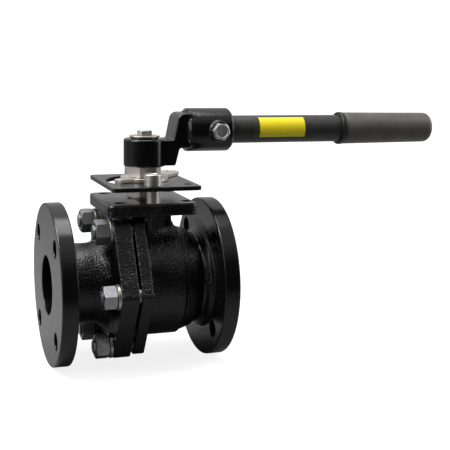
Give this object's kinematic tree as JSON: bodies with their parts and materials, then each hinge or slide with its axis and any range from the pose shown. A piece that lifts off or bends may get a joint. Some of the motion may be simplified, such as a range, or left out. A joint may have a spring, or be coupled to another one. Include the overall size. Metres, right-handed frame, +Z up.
{
  "type": "ball valve",
  "caption": "Flanged two-piece cast-iron ball valve with a cranked pipe lever on a quarter-turn stem, shown open.",
  "frame": {"origin": "centre of the inlet flange's face, on the flow axis", "axes": "+X along the flow axis from the inlet face to the outlet face, +Z up the stem, the lever points to +X when the valve is open"},
  "size_m": [0.4608, 0.1778, 0.2785],
  "materials": {
    "painted_cast_iron": "semi-gloss black enamel over a rough casting",
    "black_steel": "satin black paint",
    "stainless_steel": "machined stainless steel",
    "spring_steel": "dark phosphated spring steel",
    "zinc_plated_steel": "zinc plate",
    "yellow_zinc_plate": "yellow passivated zinc plate",
    "ptfe": "moulded PTFE",
    "gasket_graphite": "pressed graphite sheet",
    "vinyl_grip": "matt dipped vinyl",
    "label_yellow": "printed vinyl sticker, blank"
  },
  "bodies": {
    "valve_body": {"body_casting": "painted_cast_iron", "end_adapter": "painted_cast_iron", "body_gasket": "gasket_graphite", "inlet_seat": "ptfe", "outlet_seat": "ptfe", "stem_thrust_washer": "ptfe", "packing_ring_lower": "ptfe", "packing_ring_middle": "ptfe", "packing_ring_upper": "ptfe", "gland_ring": "stainless_steel", "disc_spring_lower": "spring_steel", "disc_spring_upper": "spring_steel", "gland_nut": "stainless_steel", "stop_plate": "black_steel", "plate_pillar_front": "stainless_steel", "plate_pillar_rear": "stainless_steel", "plate_screw_front": "stainless_steel", "plate_screw_rear": "stainless_steel", "joint_stud_1": "zinc_plated_steel", "joint_stud_2": "zinc_plated_steel", "joint_stud_3": "zinc_plated_steel", "joint_stud_4": "zinc_plated_steel", "joint_stud_5": "zinc_plated_steel", "joint_stud_6": "zinc_plated_steel", "joint_nut_1": "zinc_plated_steel", "joint_nut_2": "zinc_plated_steel", "joint_nut_3": "zinc_plated_steel", "joint_nut_4": "zinc_plated_steel", "joint_nut_5": "zinc_plated_steel", "joint_nut_6": "zinc_plated_steel", "spring_washer_1": "yellow_zinc_plate", "spring_washer_2": "yellow_zinc_plate", "spring_washer_3": "yellow_zinc_plate", "spring_washer_4": "yellow_zinc_plate", "spring_washer_5": "yellow_zinc_plate", "spring_washer_6": "yellow_zinc_plate"},
    "lever": {"stem": "stainless_steel", "stop_lever": "stainless_steel", "lever_spacer": "stainless_steel", "lever_casting": "painted_cast_iron", "lever_lock_washer": "spring_steel", "lever_washer": "yellow_zinc_plate", "lever_bolt": "zinc_plated_steel", "handle_tube": "black_steel", "handle_bolt": "zinc_plated_steel", "handle_bolt_nut": "zinc_plated_steel", "handle_grip": "vinyl_grip", "handle_label": "label_yellow"},
    "ball": {"ball": "stainless_steel"}
  },
  "joints": [
    {"name": "lever_turn", "type": "hinge", "parent": "valve_body", "child": "lever", "pos_m": [0.108, 0, 0.1], "axis": [0, 0, 1], "range_deg": [-90, 0]},
    {"name": "ball_turn", "type": "hinge", "parent": "valve_body", "child": "ball", "pos_m": [0.108, 0, 0], "axis": [0, 0, 1], "range_deg": [-90, 0]}
  ],
  "couplings": [
    {"joint": "ball_turn", "follows": "lever_turn", "ratio": 1}
  ]
}
